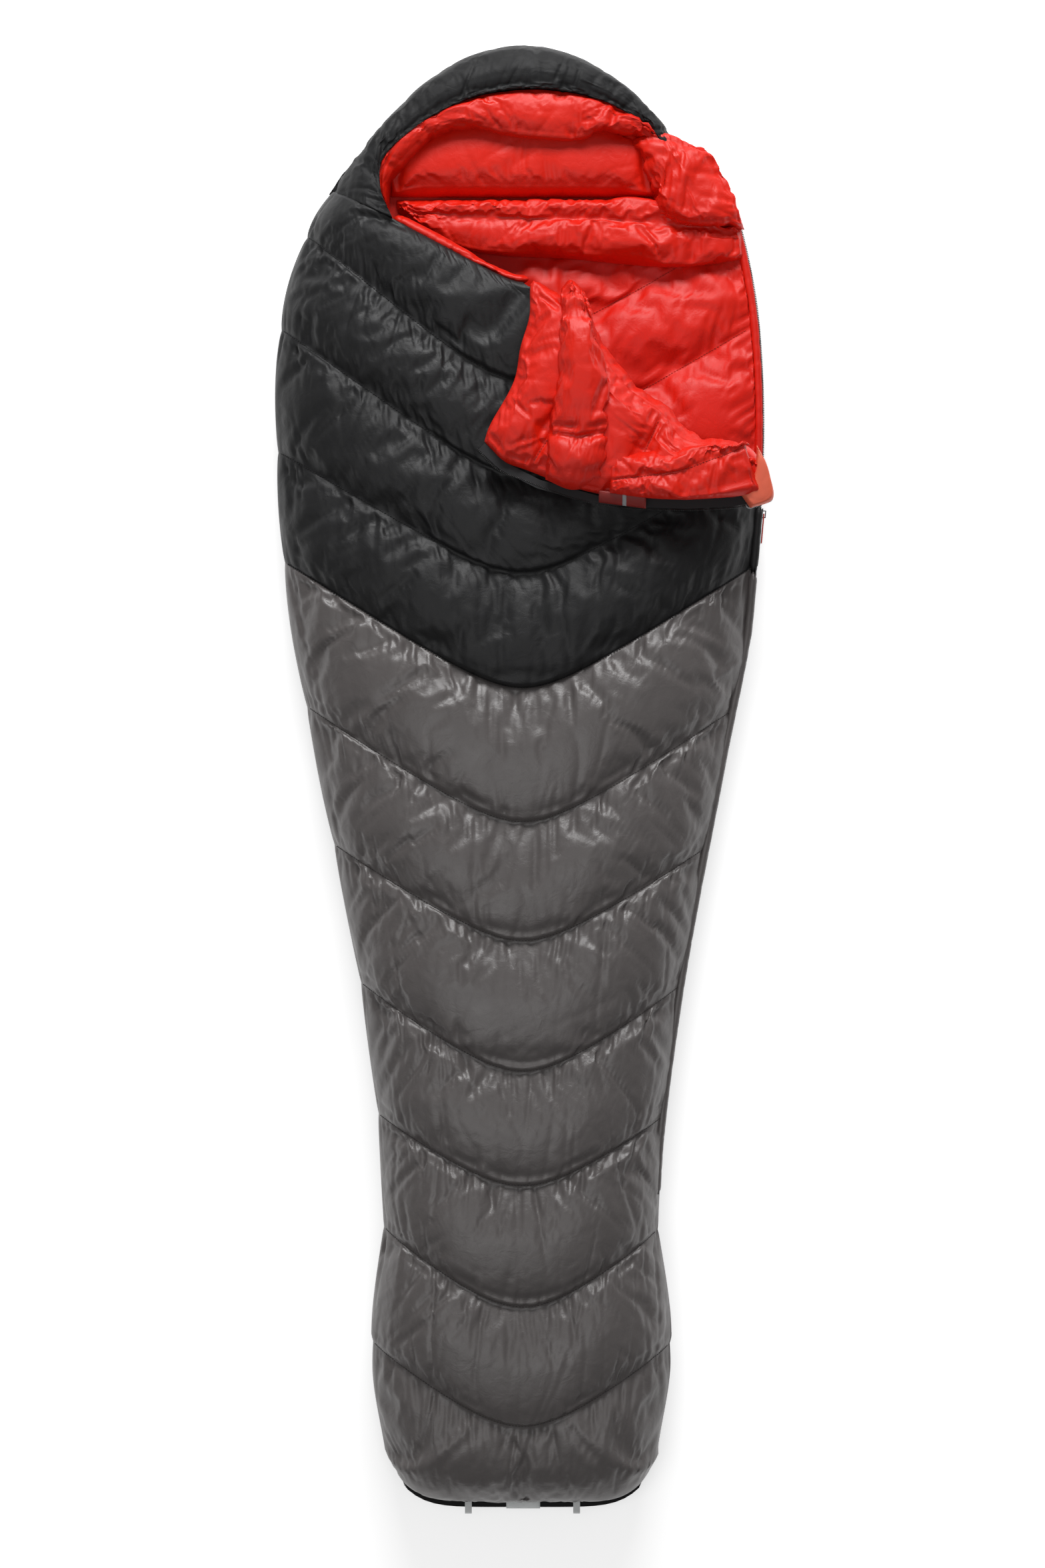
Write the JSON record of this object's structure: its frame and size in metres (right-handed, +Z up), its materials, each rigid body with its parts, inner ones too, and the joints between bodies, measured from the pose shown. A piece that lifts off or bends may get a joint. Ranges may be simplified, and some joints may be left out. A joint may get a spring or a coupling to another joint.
{
  "type": "mummy sleeping bag",
  "caption": "Down-filled mummy sleeping bag with a shaped hood, chevron baffles, a side zip and its top corner folded open over the chest.",
  "frame": {"origin": "on the flat underside, on the centre line, at the middle of the bag's length without its hang loops", "axes": "+Y towards the hood, +Z up, +X towards the zip side"},
  "size_m": [0.7199, 2.1658, 0.248],
  "materials": {
    "shell_black": "satin",
    "shell_grey": "satin",
    "lining": "satin",
    "down": "matte",
    "netting": "matte",
    "zip_tape": "matte",
    "zip_coil": "satin",
    "slider_metal": "satin",
    "pull_cord": "matte",
    "webbing": "matte"
  },
  "bodies": {
    "bag": {"top_down_chamber_01": "down", "top_down_chamber_02": "down", "top_down_chamber_03": "down", "top_down_chamber_04": "down", "top_down_chamber_05": "down", "top_down_chamber_06": "down", "top_down_chamber_07": "down", "top_down_chamber_08": "down", "top_down_chamber_09": "down", "top_down_chamber_10": "down", "top_down_chamber_11": "down", "back_down_chamber_01": "down", "back_down_chamber_02": "down", "back_down_chamber_03": "down", "back_down_chamber_04": "down", "back_down_chamber_05": "down", "back_down_chamber_06": "down", "back_down_chamber_07": "down", "back_down_chamber_08": "down", "back_down_chamber_09": "down", "back_down_chamber_10": "down", "hood_down_cheek": "down", "hood_down_crown": "down", "top_baffle_wall_01": "netting", "top_baffle_wall_02": "netting", "top_baffle_wall_03": "netting", "top_baffle_wall_04": "netting", "top_baffle_wall_05": "netting", "top_baffle_wall_06": "netting", "top_baffle_wall_07": "netting", "top_baffle_wall_08": "netting", "top_baffle_wall_09": "netting", "top_baffle_wall_10": "netting", "top_shell_grey": "shell_grey", "top_shell_black": "shell_black", "top_lining": "lining", "back_shell": "shell_black", "back_lining": "lining", "hood_shell": "shell_black", "hood_face_roll": "lining", "head_pad": "lining", "hood_side_pad": "lining", "shoulder_collar": "lining", "zip_tape_upper": "zip_tape", "zip_coil_upper": "zip_coil", "zip_tape_lower": "zip_tape", "zip_coil_lower": "zip_coil", "hang_loop_left": "webbing", "hang_loop_right": "webbing"},
    "flap": {"flap_shell": "shell_black", "flap_lining": "lining", "flap_down_neck": "down", "flap_down_middle": "down", "flap_down_zip": "down", "flap_collar": "lining", "draft_tube": "lining", "flap_zip_tape": "zip_tape", "flap_zip_coil": "zip_coil"},
    "slider": {"zip_slider": "slider_metal"},
    "puller": {"zip_puller": "pull_cord"}
  },
  "joints": [
    {"name": "flap_fold", "type": "hinge", "parent": "bag", "child": "flap", "pos_m": [0.017, 0.712, 0.172], "axis": [-0.7372, 0.6756, 0], "range_deg": [0, 165]},
    {"name": "zip_run", "type": "slide", "parent": "bag", "child": "slider", "axis": [-0.0882, -0.9961, 0], "range_m": [0, 0.14]},
    {"name": "puller_swing", "type": "hinge", "parent": "slider", "child": "puller", "pos_m": [0.3567, 0.38351, 0.06], "axis": [0, 0, 1], "range_deg": [0, 150]}
  ]
}
